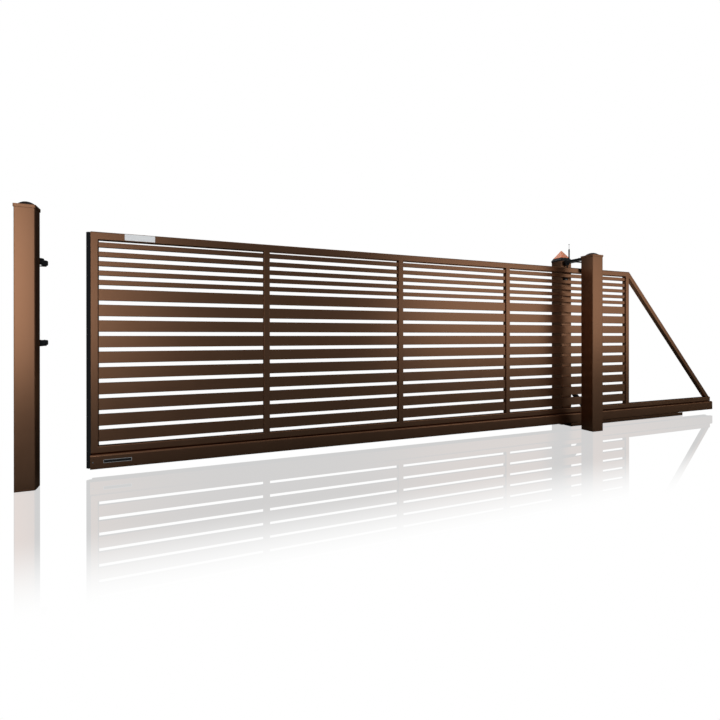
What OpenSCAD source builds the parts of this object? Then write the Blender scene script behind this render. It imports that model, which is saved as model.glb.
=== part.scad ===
// Sliding driveway gate with a cantilevered leaf.
// Millimetres, +Z up. The origin is the centre of the front portal post's foot.
// +X runs along the gate towards its tail, +Y from the front post to the rear post.

/* [Gateway] */
// Clear width between the closing post and the front portal post
opening_w = 4688; // [3500:1:6000]
// Gap along X between the closing post and the leaf's frame, as it stands here
rest_gap = 267; // [200:1:600]
// Gap across the gate from the front post to the running beam
front_gap = 133; // [60:1:200]
// Gap across the gate from the running beam to the rear post
rear_gap = 19; // [15:1:60]
// Height of the running beam above the ground
ground_gap = 41; // [41:1:80]

/* [Leaf frame] */
// Clear width of each of the four wide bays
bay_clear = 1152; // [900:1:1300]
// Clear width of the short bay at the tail
tail_bay_clear = 450; // [300:1:700]
// Depth of the frame's tubes across the gate
frame_depth = 47; // [40:1:60]
// Height of the top and bottom rails
rail_h = 53; // [40:1:70]
// Width of the closing stile
closing_stile_w = 45; // [35:1:70]
// Width of each stile between two bays
mid_stile_w = 47; // [35:1:70]
// Width of the stile at the tail
tail_stile_w = 50; // [35:1:70]
// Length of the counterweight tail behind the frame
tail_l = 1458; // [1200:1:1900]
// Width of the sloping tail brace
brace_w = 47; // [30:1:60]
// Length of bottom rail left free behind the brace's foot
brace_end_gap = 19; // [5:1:80]

/* [Slats] */
// Height of a wide slat
wide_slat_h = 78; // [60:1:90]
// Gap between wide slats
wide_gap = 32; // [20:1:45]
// Number of wide slats in a bay
wide_count = 10; // [8:1:11]
// Height of a narrow slat
narrow_slat_h = 32; // [20:1:40]
// Gap between narrow slats
narrow_gap = 34; // [20:1:45]
// Number of narrow slats in a bay
narrow_count = 5; // [3:1:6]
// Gap between the highest slat and the top rail
top_gap = 17; // [10:1:40]
// Thickness of a slat across the gate
slat_t = 26; // [15:1:36]

/* [Running beam] */
// Height of the running beam
beam_h = 101; // [95:1:130]
// Depth of the running beam across the gate
beam_d = 103; // [98:1:140]
// Wall of the running beam
beam_wall = 5; // [4:1:7]
// Slot along the beam's underside
beam_slot = 40; // [34:1:50]
// Rounding of the beam's two upper edges
beam_top_r = 14; // [6:1:20]

/* [Portal] */
// Width of the two square portal posts
portal_w = 140; // [120:1:160]
// Wall of every post
post_wall = 4; // [3:1:8]
// Height of the posts above the leaf's top rail
post_over_leaf = 85; // [75:1:120]
// Width of the bridge that joins the portal posts
bridge_w = 70; // [60:1:90]
// Height of the bridge bar above its guide plate
bridge_h = 22; // [16:1:40]
// Thickness of the guide plate
guide_plate_t = 6; // [4:1:10]
// Diameter of the guide rollers beside the top rail
guide_roller_d = 40; // [30:1:42]
// Running clearance between the leaf and each guide roller
guide_play = 3; // [2:0.5:5]

/* [Closing post] */
// Width of the square closing post
closing_w = 110; // [90:1:140]
// Shift of the closing post across the gate from the front post's centre
closing_y = 54; // [30:1:60]
// Height of the upper catch above the ground
upper_catch_z = 1457; // [1300:1:1550]
// Height of the lower catch above the ground
lower_catch_z = 913; // [600:1:1100]
// Diameter of the catch rollers
catch_roller_d = 42; // [30:1:50]
// Clearance between the leaf and each catch roller
catch_play = 5; // [5:1:10]

/* [Ground gear] */
// Length of the ground channel that carries the two carriages
channel_l = 1804; // [1700:1:2200]
// Height of the ground channel
channel_h = 36; // [25:1:36]
// Diameter of the carriage wheels
wheel_d = 88; // [70:1:88]
// Height at which the strut meets the rear post
strut_z = 386; // [250:1:600]
// Width of the strut's square bar
strut_w = 40; // [25:1:50]

/* [Hidden] */

// Facets of round shapes, and the overrun of a cut past its face
round_fn = 48;
overrun = 1;
bronze = "#4b4038";
satin_black = "#1b1b1c";
steel = "#9a9c9e";
rubber = "#151515";

// Leaf along X
wide_bays = 4;
bay_pitch = bay_clear + mid_stile_w;
frame_l = closing_stile_w + wide_bays * bay_pitch + tail_bay_clear + tail_stile_w;
leaf_l = frame_l + tail_l;
closing_face_x = -portal_w / 2 - opening_w;
leaf_x = closing_face_x + rest_gap;
tail_x = leaf_x + frame_l;

// Leaf across the gate
leaf_y = portal_w / 2 + front_gap + beam_d / 2;
leaf_front_y = leaf_y - frame_depth / 2;
leaf_back_y = leaf_y + frame_depth / 2;

// Leaf heights
beam_top_z = ground_gap + beam_h;
panel_z = beam_top_z + rail_h;
wide_pitch = wide_slat_h + wide_gap;
narrow_pitch = narrow_slat_h + narrow_gap;
wide_z = panel_z + wide_gap;
narrow_z = wide_z + wide_count * wide_pitch;
panel_top_z = narrow_z + narrow_count * narrow_pitch - narrow_gap + top_gap;
leaf_top_z = panel_top_z + rail_h;

// Running beam
beam_low_r = 4;
beam_cap_t = 10;
cavity_w = beam_d - 2 * beam_wall;
cavity_h = beam_h - 2 * beam_wall;
cavity_top_z = beam_top_z - beam_wall;

// Edge seal and the two small plates
seal_w = 26;
seal_d = 40;
seal_nose_d = 24;
seal_low = 2;
seal_high = 5;
plate_t = 1.5;
rail_plate_l = 197;
rail_plate_h = 44;
rail_plate_x = 212;
beam_plate_l = 177;
beam_plate_h = 23;
beam_plate_x = 81;
beam_plate_z = 40;
screw_d = 10;
screw_h = 3;
screw_x = 17;
screw_z = 49;

// Posts
post_h = leaf_top_z + post_over_leaf;
post_r = 6;
foot_t = 10;
rear_y = leaf_y + beam_d / 2 + rear_gap + portal_w / 2;
rear_face_y = rear_y - portal_w / 2;
cap_over = 5;
cap_lip_t = 5;
cap_rise = 28;

// Lamp and antenna
lamp_w = portal_w + 2 * cap_over;
lamp_lip_t = 12;
lamp_neck_h = 40;
lens_w = 104;
lens_h = 77;
lens_tip_w = 8;
mast_d = 17;
mast_h = 122;
mast_x = 22;
mast_gap = 2;
mast_y = rear_face_y - cap_over - mast_gap - mast_d / 2;
whip_d = 4;
whip_h = 58;
whip_ball_d = 9;

// Bridge and guides
bridge_r = 4;
bridge_z = post_h - bridge_h;
plate_z = bridge_z - guide_plate_t;
guide_margin = 3;
guide_pin_d = 12;
guide_neck_h = 25;
roller_drop = 48;
roller_over = 7;
roller_low_z = leaf_top_z - roller_drop;
roller_high_z = leaf_top_z + roller_over;
rear_roller_x = -15;
front_roller_x = 119;
front_roller_y = leaf_front_y - guide_play - guide_roller_d / 2;
rear_roller_y = leaf_back_y + guide_play + guide_roller_d / 2;
bridge_bolt_d = 16;
bridge_bolt_h = 9;
bridge_bolt_share = 0.35;
roller_play = 0.3;

// Sensor on the rear post
sensor_d = 45;
sensor_t = 20;
sensor_x = -21;
sensor_drop = 111;

// Ground channel, carriages and strut
channel_front = 39.5;
channel_wall = 5;
channel_start = 20;
channel_x = -portal_w / 2 + channel_start;
channel_y = leaf_y - channel_front;
channel_w = rear_face_y - channel_y;
anchor_span = 800;
anchor_gauge = 60;
anchor_d = 14;
carriage_start = 259;
carriage_end = 165;
front_carriage_x = channel_x + carriage_start;
rear_carriage_x = channel_x + channel_l - carriage_end;
carriage_base_l = 300;
carriage_base_w = 60;
carriage_base_t = 8;
carriage_web_l = 250;
carriage_web_t = 22;
carriage_web_over = 18;
wheel_gap = 0.3;
wheel_z = cavity_top_z - wheel_gap - wheel_d / 2;
wheel_t = 24;
wheel_side_gap = 2;
wheel_base = 130;
axle_d = 24;
axle_play = 0.3;
strut_foot_l = 130;
strut_foot_w = 60;
strut_foot_t = 8;

// Closing post and catches
closing_x = closing_face_x - closing_w / 2;
closing_back_y = closing_y + closing_w / 2;
catch_t = 5;
catch_h = 52;
catch_inset = 6;
catch_web_x = closing_face_x - closing_w + catch_inset;
catch_web_w = 20;
catch_prong_w = 24;
catch_prong_nose = 12;
catch_roller_gap = 0.5;
catch_roller_h = 42;
catch_roller_r = 12;
catch_pin_d = 10;
catch_head_d = 18;
catch_head_t = 3;
catch_flange_l = 62;
catch_bolt_d = 12;
catch_bolt_h = 5;
catch_bolt_gauge = 26;
catch_reach = 86;
catch_roller_x = catch_web_x + catch_reach;
catch_front_y = leaf_front_y - catch_play - catch_roller_d / 2;
catch_back_y = leaf_back_y + catch_play + catch_roller_d / 2;

// A rounded rectangle around the origin
module rounded_rect(w, h, r) {
    square([w - 2 * r, h], center = true);
    square([w, h - 2 * r], center = true);
    for (sx = [-1, 1], sy = [-1, 1])
        translate([sx * (w / 2 - r), sy * (h / 2 - r)]) circle(r = r, $fn = round_fn);
}

// Carries a section drawn in Y and Z along X
module along_x(l) {
    rotate([90, 0, 90]) linear_extrude(height = l) children();
}

// Carries a section drawn in X and Z along +Y
module along_y(l) {
    translate([0, l, 0]) rotate([90, 0, 0]) linear_extrude(height = l) children();
}

// A square post tube standing on its foot plate
module post_tube(w) {
    translate([0, 0, foot_t]) linear_extrude(height = post_h - foot_t) difference() {
        rounded_rect(w, w, post_r);
        rounded_rect(w - 2 * post_wall, w - 2 * post_wall, post_r - post_wall / 2);
    }
}

module post_foot(w) {
    linear_extrude(height = foot_t) rounded_rect(w, w, post_r);
}

// A cap with a lip that overhangs the post and a shallow round dome on it
module post_cap(w) {
    lip_w = w + 2 * cap_over;
    dome_r = (w * w / 4 + cap_rise * cap_rise) / (2 * cap_rise);
    translate([0, 0, post_h]) {
        linear_extrude(height = cap_lip_t) rounded_rect(lip_w, lip_w, post_r);
        intersection() {
            translate([0, 0, cap_lip_t + cap_rise - dome_r]) sphere(r = dome_r, $fn = 2 * round_fn);
            translate([0, 0, cap_lip_t]) cylinder(h = cap_rise, d = w, $fn = 2 * round_fn);
        }
    }
}

module front_post() {
    color(bronze) post_tube(portal_w);
}

module front_post_foot() {
    color(bronze) post_foot(portal_w);
}

module front_post_cap() {
    color(satin_black) post_cap(portal_w);
}

module rear_post() {
    color(bronze) translate([0, rear_y, 0]) post_tube(portal_w);
}

module rear_post_foot() {
    color(bronze) translate([0, rear_y, 0]) post_foot(portal_w);
}

// Black lamp socket: a lip on the post and a neck that narrows to the lens
module lamp_base() {
    color(satin_black) translate([0, rear_y, post_h]) {
        linear_extrude(height = lamp_lip_t) rounded_rect(lamp_w, lamp_w, post_r);
        translate([0, 0, lamp_lip_t])
            linear_extrude(height = lamp_neck_h, scale = lens_w / lamp_w)
                square([lamp_w, lamp_w], center = true);
    }
}

// Orange pyramid lens
module lamp_lens() {
    color("darkorange") translate([0, rear_y, post_h + lamp_lip_t + lamp_neck_h])
        linear_extrude(height = lens_h, scale = lens_tip_w / lens_w)
            square([lens_w, lens_w], center = true);
}

module antenna_mast() {
    color(satin_black) translate([mast_x, mast_y, post_h])
        cylinder(h = mast_h, d = mast_d, $fn = round_fn);
}

module antenna_whip() {
    color(satin_black) translate([mast_x, mast_y, post_h + mast_h]) {
        cylinder(h = whip_h, d = whip_d, $fn = round_fn);
        translate([0, 0, whip_h]) sphere(d = whip_ball_d, $fn = round_fn);
    }
}

// Bar between the two portal posts, with a bolt head on top
module top_bridge() {
    bridge_l = rear_face_y - portal_w / 2;
    color(satin_black) translate([0, portal_w / 2, bridge_z]) {
        along_y(bridge_l) translate([0, bridge_h / 2]) rounded_rect(bridge_w, bridge_h, bridge_r);
        translate([0, bridge_l * bridge_bolt_share, bridge_h])
            cylinder(h = bridge_bolt_h, d = bridge_bolt_d, $fn = 6);
    }
}

// Plate under the bridge, with the neck and pin of each guide roller
module guide_plate() {
    pad = guide_roller_d / 2 + guide_margin;
    low_y = front_roller_y - pad;
    high_y = rear_roller_y + guide_roller_d / 2;
    color(satin_black) {
        translate([rear_roller_x - pad, low_y, plate_z])
            cube([bridge_w / 2 - rear_roller_x + pad, high_y - low_y, guide_plate_t]);
        translate([rear_roller_x, low_y, plate_z])
            cube([front_roller_x - rear_roller_x + pad, 2 * pad, guide_plate_t]);
        for (place = [[front_roller_x, front_roller_y], [rear_roller_x, rear_roller_y]])
            translate([place[0], place[1], 0]) {
                translate([0, 0, plate_z - guide_neck_h])
                    cylinder(h = guide_neck_h, d = guide_roller_d, $fn = round_fn);
                translate([0, 0, roller_low_z])
                    cylinder(h = plate_z - roller_low_z, d = guide_pin_d, $fn = round_fn);
            }
    }
}

module guide_roller(x, y) {
    translate([x, y, roller_low_z]) difference() {
        cylinder(h = roller_high_z - roller_low_z, d = guide_roller_d, $fn = round_fn);
        translate([0, 0, -overrun])
            cylinder(h = roller_high_z - roller_low_z + 2 * overrun,
                     d = guide_pin_d + 2 * roller_play, $fn = round_fn);
    }
}

module front_guide_roller() {
    color(rubber) guide_roller(front_roller_x, front_roller_y);
}

module rear_guide_roller() {
    color(rubber) guide_roller(rear_roller_x, rear_roller_y);
}

module sensor() {
    color(satin_black) translate([sensor_x, rear_face_y, leaf_top_z - sensor_drop])
        rotate([90, 0, 0]) cylinder(h = sensor_t, d = sensor_d, $fn = round_fn);
}

// Open-topped channel on the ground, with four anchor holes in its floor
module ground_channel() {
    color(bronze) difference() {
        translate([channel_x, channel_y, 0]) cube([channel_l, channel_w, channel_h]);
        translate([channel_x - overrun, channel_y + channel_wall, channel_wall])
            cube([channel_l + 2 * overrun, channel_w - 2 * channel_wall, channel_h]);
        for (sx = [-1, 1], sy = [-1, 1])
            translate([channel_x + channel_l / 2 + sx * anchor_span / 2,
                       channel_y + channel_w / 2 + sy * anchor_gauge / 2, -overrun])
                cylinder(h = channel_wall + 2 * overrun, d = anchor_d, $fn = round_fn);
    }
}

// Foot plate, upright web and two axles of one carriage
module carriage(x) {
    color(steel) translate([x, leaf_y, 0]) {
        translate([-carriage_base_l / 2, -carriage_base_w / 2, channel_wall])
            cube([carriage_base_l, carriage_base_w, carriage_base_t]);
        translate([-carriage_web_l / 2, -carriage_web_t / 2, channel_wall + carriage_base_t])
            cube([carriage_web_l, carriage_web_t,
                  wheel_z + carriage_web_over - channel_wall - carriage_base_t]);
        axle_l = carriage_web_t + 2 * (wheel_side_gap + wheel_t);
        for (s = [-1, 1])
            translate([s * wheel_base / 2, -axle_l / 2, wheel_z])
                rotate([-90, 0, 0]) cylinder(h = axle_l, d = axle_d, $fn = round_fn);
    }
}

module front_carriage() {
    carriage(front_carriage_x);
}

module rear_carriage() {
    carriage(rear_carriage_x);
}

// Eight wheels on the carriages' axles, inside the running beam
module carriage_wheels() {
    side = carriage_web_t / 2 + wheel_side_gap;
    color("dimgray")
        for (x = [front_carriage_x, rear_carriage_x], s = [-1, 1], y = [side, -side - wheel_t])
            translate([x + s * wheel_base / 2, leaf_y + y, wheel_z]) rotate([-90, 0, 0]) difference() {
                cylinder(h = wheel_t, d = wheel_d, $fn = round_fn);
                translate([0, 0, -overrun])
                    cylinder(h = wheel_t + 2 * overrun, d = axle_d + 2 * axle_play, $fn = round_fn);
            }
}

// Sloping bar from the rear post's side down to its foot plate
module strut() {
    half = strut_w / sqrt(2);
    run = strut_z - strut_foot_t;
    color(satin_black) translate([portal_w / 2, rear_face_y, 0]) along_y(strut_w) polygon([
        [0, strut_z - half], [0, strut_z + half],
        [run + half, strut_foot_t], [run - half, strut_foot_t]
    ]);
}

module strut_foot() {
    color(satin_black)
        translate([portal_w / 2 + strut_z - strut_foot_t - strut_foot_l / 2, rear_face_y, 0])
            cube([strut_foot_l, strut_foot_w, strut_foot_t]);
}

module closing_post() {
    color(bronze) translate([closing_x, closing_y, 0]) post_tube(closing_w);
}

module closing_post_foot() {
    color(bronze) translate([closing_x, closing_y, 0]) post_foot(closing_w);
}

module closing_post_cap() {
    color(satin_black) translate([closing_x, closing_y, 0]) post_cap(closing_w);
}

// One catch: a flange on the post and a flat fork, with an upright pin on each prong
module catch(z) {
    pin_h = catch_roller_h + 2 * catch_roller_gap;
    color(satin_black) translate([catch_web_x, 0, z - catch_h / 2]) {
        translate([0, closing_back_y, 0])
            cube([catch_web_w, catch_back_y + catch_prong_w / 2 - closing_back_y, catch_t]);
        translate([0, closing_back_y, 0]) cube([catch_flange_l, catch_t, catch_h]);
        for (s = [-1, 1])
            translate([catch_flange_l / 2, closing_back_y + catch_t,
                       catch_h / 2 + s * catch_bolt_gauge / 2])
                rotate([-90, 0, 0]) cylinder(h = catch_bolt_h, d = catch_bolt_d, $fn = 6);
        for (y = [catch_front_y, catch_back_y]) {
            translate([0, y - catch_prong_w / 2, 0])
                cube([catch_reach + catch_prong_nose, catch_prong_w, catch_t]);
            translate([catch_reach, y, catch_t])
                cylinder(h = pin_h, d = catch_pin_d, $fn = round_fn);
            translate([catch_reach, y, catch_t + pin_h])
                cylinder(h = catch_head_t, d = catch_head_d, $fn = round_fn);
        }
    }
}

// The four rubber rollers of the two catches, with well rounded ends
module catch_rollers() {
    bore = catch_pin_d / 2 + roller_play;
    color(rubber)
        for (z = [upper_catch_z, lower_catch_z], y = [catch_front_y, catch_back_y])
            translate([catch_roller_x, y, z - catch_h / 2 + catch_t + catch_roller_gap + catch_roller_h / 2])
                rotate_extrude($fn = 2 * round_fn) intersection() {
                    rounded_rect(catch_roller_d, catch_roller_h, catch_roller_r);
                    translate([bore, -catch_roller_h / 2])
                        square([catch_roller_d / 2, catch_roller_h]);
                }
}

module upper_catch() {
    catch(upper_catch_z);
}

module lower_catch() {
    catch(lower_catch_z);
}

// A frame tube with its corner at a place along X and Z
module frame_tube(x, z, w, h) {
    color(bronze) translate([x, leaf_front_y, z]) cube([w, frame_depth, h]);
}

module top_rail() {
    frame_tube(leaf_x, panel_top_z, frame_l, rail_h);
}

module bottom_rail() {
    frame_tube(leaf_x, beam_top_z, leaf_l, rail_h);
}

module stile(x, w) {
    frame_tube(x, panel_z, w, panel_top_z - panel_z);
}

module closing_stile() {
    stile(leaf_x, closing_stile_w);
}

module mid_stile(number) {
    stile(leaf_x + closing_stile_w + number * bay_pitch - mid_stile_w, mid_stile_w);
}

module mid_stile_1() {
    mid_stile(1);
}

module mid_stile_2() {
    mid_stile(2);
}

module mid_stile_3() {
    mid_stile(3);
}

module mid_stile_4() {
    mid_stile(4);
}

module tail_stile() {
    stile(tail_x - tail_stile_w, tail_stile_w);
}

// Sloping tube from the top of the tail stile to the end of the bottom rail
module tail_brace() {
    fall = leaf_top_z - panel_z;
    reach = tail_l - brace_end_gap;
    slope = atan2(fall, reach);
    color(bronze) translate([tail_x, leaf_front_y, panel_z]) along_y(frame_depth) polygon([
        [0, fall], [0, fall - brace_w / cos(slope)],
        [reach - brace_w / sin(slope), 0], [reach, 0]
    ]);
}

// The slats of one bay, each running from stile to stile
module slats(x, w) {
    color(bronze) translate([x, leaf_y - slat_t / 2, 0]) {
        for (i = [0 : wide_count - 1])
            translate([0, 0, wide_z + i * wide_pitch]) cube([w, slat_t, wide_slat_h]);
        for (i = [0 : narrow_count - 1])
            translate([0, 0, narrow_z + i * narrow_pitch]) cube([w, slat_t, narrow_slat_h]);
    }
}

module wide_bay(number) {
    slats(leaf_x + closing_stile_w + (number - 1) * bay_pitch, bay_clear);
}

module slats_bay_1() {
    wide_bay(1);
}

module slats_bay_2() {
    wide_bay(2);
}

module slats_bay_3() {
    wide_bay(3);
}

module slats_bay_4() {
    wide_bay(4);
}

module slats_bay_5() {
    slats(tail_x - tail_stile_w - tail_bay_clear, tail_bay_clear);
}

// Section of the beam's outside: wide rounding above, small rounding below
module beam_outline() {
    rounded_rect(beam_d, beam_h, beam_top_r);
    translate([0, -beam_h / 4]) rounded_rect(beam_d, beam_h / 2, beam_low_r);
}

// Section of the beam's inside
module beam_cavity() {
    rounded_rect(cavity_w, cavity_h, beam_top_r - beam_wall);
    translate([0, -cavity_h / 4]) rounded_rect(cavity_w, cavity_h / 2, beam_low_r / 2);
}

module running_beam() {
    color(bronze) {
        translate([leaf_x, leaf_y, ground_gap + beam_h / 2]) along_x(leaf_l) difference() {
            beam_outline();
            beam_cavity();
            translate([-beam_slot / 2, -beam_h / 2 - overrun])
                square([beam_slot, beam_h / 2 + overrun]);
        }
        translate([leaf_x + screw_x, leaf_y - beam_d / 2 - screw_h, ground_gap + screw_z])
            rotate([-90, 0, 0]) cylinder(h = screw_h, d = screw_d, $fn = round_fn);
    }
}

// The plugs in the beam's two ends
module beam_caps() {
    color(satin_black)
        for (x = [leaf_x, leaf_x + leaf_l - beam_cap_t])
            translate([x, leaf_y, ground_gap + beam_h / 2]) along_x(beam_cap_t) beam_cavity();
}

// Rubber profile down the leaf's closing edge: a flat base with a round nose
module edge_seal() {
    seal_h = leaf_top_z - seal_high - ground_gap - seal_low;
    color(rubber) translate([leaf_x, leaf_y, ground_gap + seal_low]) linear_extrude(height = seal_h) {
        translate([-seal_w + seal_nose_d / 2, -seal_d / 2])
            square([seal_w - seal_nose_d / 2, seal_d]);
        translate([-seal_w + seal_nose_d / 2, 0]) circle(d = seal_nose_d, $fn = round_fn);
    }
}

// Bare plate on the top rail
module rail_plate() {
    color("gainsboro")
        translate([leaf_x + rail_plate_x, leaf_front_y - plate_t,
                   panel_top_z + (rail_h - rail_plate_h) / 2])
            cube([rail_plate_l, plate_t, rail_plate_h]);
}

// Bare plate on the running beam
module beam_plate() {
    color(satin_black)
        translate([leaf_x + beam_plate_x, leaf_y - beam_d / 2 - plate_t, ground_gap + beam_plate_z])
            cube([beam_plate_l, plate_t, beam_plate_h]);
}

front_post();
front_post_foot();
front_post_cap();
rear_post();
rear_post_foot();
lamp_base();
lamp_lens();
antenna_mast();
antenna_whip();
top_bridge();
guide_plate();
front_guide_roller();
rear_guide_roller();
sensor();
ground_channel();
front_carriage();
rear_carriage();
carriage_wheels();
strut();
strut_foot();
closing_post();
closing_post_foot();
closing_post_cap();
upper_catch();
lower_catch();
catch_rollers();
top_rail();
bottom_rail();
closing_stile();
mid_stile_1();
mid_stile_2();
mid_stile_3();
mid_stile_4();
tail_stile();
tail_brace();
slats_bay_1();
slats_bay_2();
slats_bay_3();
slats_bay_4();
slats_bay_5();
running_beam();
beam_caps();
edge_seal();
rail_plate();
beam_plate();
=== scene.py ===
"""The looks of a sliding driveway gate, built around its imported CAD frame.

Blender works in metres. The shapes below are worked out in millimetres in the CAD's own frame, with +X
along the gate towards its tail, +Y from the front post to the rear post and +Z up, and each mesh is turned to
metres once.
"""

import math

import bpy
import numpy as np
from mathutils import Matrix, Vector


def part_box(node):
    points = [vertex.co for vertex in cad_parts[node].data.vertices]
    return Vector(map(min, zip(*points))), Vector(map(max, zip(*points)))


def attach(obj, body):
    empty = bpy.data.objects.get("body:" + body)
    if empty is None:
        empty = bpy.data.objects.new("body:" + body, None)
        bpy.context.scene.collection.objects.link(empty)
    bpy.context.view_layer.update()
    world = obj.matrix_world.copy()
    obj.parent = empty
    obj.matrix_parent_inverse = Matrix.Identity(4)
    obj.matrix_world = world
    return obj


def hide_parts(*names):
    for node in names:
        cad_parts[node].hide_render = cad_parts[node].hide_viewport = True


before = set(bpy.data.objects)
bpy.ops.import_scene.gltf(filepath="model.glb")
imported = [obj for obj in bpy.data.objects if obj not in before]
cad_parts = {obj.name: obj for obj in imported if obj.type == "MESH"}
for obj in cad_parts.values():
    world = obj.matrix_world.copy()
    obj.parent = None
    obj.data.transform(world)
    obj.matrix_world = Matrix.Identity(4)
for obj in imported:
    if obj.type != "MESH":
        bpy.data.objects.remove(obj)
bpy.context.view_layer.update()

MM = 0.001
WELD = 0.001
TINY = 1e-9
QUARTER = math.pi / 2
ARC_STEPS = 4
EDGE_STEPS = 3
ROUND_STEPS = 48
X, Y, Z = range(3)
ALONG = (1, 0, 0)
BACK = (0, 1, 0)
FRONT = (0, -1, 0)
UP = (0, 0, 1)


# Shapes. A patch is (points, faces, one normal for each corner of each face).


def closed_outline(corners, radii):
    """Points, normals and inward steps of a closed outline whose corners run counterclockwise.

    At a corner with a radius, the arc's centre lies on the bisector, radius / (1 + n1.n2) times (n1 + n2)
    from the corner, and the arc's normal turns evenly from the first side's normal n1 to the second's, n2. A
    corner with no radius stays sharp: its points lie on each other and step inwards by
    (n1 + n2) / (1 + n1.n2).
    """
    corners = np.asarray(corners, float)
    radii = np.broadcast_to(np.asarray(radii, float), len(corners))
    ahead = np.roll(corners, -1, 0) - corners
    after = np.stack([ahead[:, 1], -ahead[:, 0]], 1)
    after /= np.linalg.norm(after, axis=1, keepdims=True)
    before = np.roll(after, 1, 0)
    dot = (before * after).sum(1)
    turn = np.arctan2(before[:, 0] * after[:, 1] - before[:, 1] * after[:, 0], dot)
    share = np.linspace(0, 1, ARC_STEPS + 1)
    angle = np.arctan2(before[:, 1], before[:, 0])[:, None] + turn[:, None] * share
    normals = np.stack([np.cos(angle), np.sin(angle)], 2)
    mitre = (before + after) / (1 + dot)[:, None]
    bent = (np.sign(turn) * radii)[:, None]
    points = (corners - bent * mitre)[:, None] + bent[:, None] * normals
    steps = np.where(radii[:, None, None] > 0, normals, mitre[:, None])
    return tuple(np.concatenate([part.reshape(-1, 2), part[0, :1]]) for part in (points, normals, steps))


def rectangle(width, height, radius):
    """The outline of a rounded rectangle around its centre."""
    x, y = width / 2, height / 2
    return closed_outline([(-x, -y), (x, -y), (x, y), (-x, y)], radius)


def bar_profile(radius, height, radii, bore=0):
    """The profile of a round bar or ring, from its bore out to its radius, with four rounded corners."""
    return closed_outline([(bore, 0), (radius, 0), (radius, height), (bore, height)], radii)


def regular(sides, radius):
    """The outline of a regular polygon whose sides lie at distance one from its centre."""
    angle = (np.arange(sides) + 0.5) * math.tau / sides
    reach = 1 / math.cos(math.pi / sides)
    return closed_outline(reach * np.stack([np.cos(angle), np.sin(angle)], 1), radius)


def circle():
    """The unit circle as an outline: each point is also its own normal."""
    angle = np.linspace(0, math.tau, ROUND_STEPS + 1)
    points = np.stack([np.cos(angle), np.sin(angle)], 1)
    return points, points, points


def basis(direction):
    """Two axes across a direction and the direction itself, right-handed."""
    direction = np.asarray(direction, float)
    direction = direction / np.linalg.norm(direction)
    axis = int(np.argmax(np.abs(direction)))
    helper = np.eye(3)[(axis + 1) % 3]
    across = helper - (helper @ direction) * direction
    across /= np.linalg.norm(across)
    return np.stack([across, np.cross(direction, across), direction])


def grid(points, normals):
    """A patch of quads over a grid of points, with rows along the path and columns along the outline."""
    rows, columns = points.shape[:2]
    first = (np.arange(rows - 1)[:, None] * columns + np.arange(columns - 1)).reshape(-1)
    quads = np.stack([first, first + 1, first + 1 + columns, first + columns], 1)
    return points.reshape(-1, 3), quads, normals.reshape(-1, 3)[quads]


def lid(row, normal):
    """One flat face over a ring of points, without the ring's repeated points."""
    row = row[:-1]
    row = row[np.linalg.norm(row - np.roll(row, 1, 0), axis=1) > WELD]
    return row, np.arange(len(row))[None], np.broadcast_to(normal, (1, len(row), 3))


def carried(section, start, length, direction, edge=0.0):
    """A straight bar: the section carried from a start point over a length, with quarter-round end edges.

    Near each end, as t goes from 0 to a quarter turn, the section advances by edge * (1 - cos t) and draws in
    by edge * (1 - sin t), and its normal leans from the bar's direction to the section's own.
    """
    points, normals, steps = section
    axes = basis(direction)
    t = np.linspace(0, QUARTER, EDGE_STEPS + 1) if edge > 0 else np.array([QUARTER])
    run = edge * (1 - np.cos(t)) if edge > 0 else np.zeros(1)
    along = np.concatenate([run, length - run[::-1]])
    drawn = np.concatenate([edge * (1 - np.sin(t)), edge * (1 - np.sin(t[::-1]))])
    out = np.concatenate([np.sin(t), np.sin(t[::-1])])
    lean = np.concatenate([-np.cos(t), np.cos(t[::-1])])
    flat = points[None] - drawn[:, None, None] * steps[None]
    shape = flat @ axes[:2] + along[:, None, None] * axes[2] + np.asarray(start, float)
    facing = out[:, None, None] * (normals @ axes[:2])[None] + lean[:, None, None] * axes[2]
    return [grid(shape, facing), lid(shape[0][::-1], -axes[2]), lid(shape[-1], axes[2])]


def turned(profile, section, start, direction=UP):
    """A form around a centre line. The profile gives a distance from the line and a height along it, and the
    section, of half width one, is scaled by that distance at that height. Its normal is the profile's, spread
    the same way.
    """
    points, normals = profile[:2]
    axes = basis(direction)
    shape = points[:, 0, None, None] * (section[0] @ axes[:2])[None] + points[:, 1, None, None] * axes[2]
    facing = normals[:, 0, None, None] * (section[1] @ axes[:2])[None] + normals[:, 1, None, None] * axes[2]
    return [grid(shape + np.asarray(start, float), facing)]


def block(low, high, axis, radius, edge):
    """A bar that fills a box, carried along one axis."""
    low, high = np.asarray(low, float), np.asarray(high, float)
    direction = np.eye(3)[axis]
    across = basis(direction)[:2]
    size = high - low
    width, height = (abs(size @ row) for row in across)
    start = (low + high) / 2 - size[axis] / 2 * direction
    return carried(rectangle(width, height, radius), start, size[axis], direction, edge)


def span(node):
    """A CAD node's lowest and highest corner in millimetres."""
    return tuple(np.array(corner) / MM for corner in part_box(node))


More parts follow.
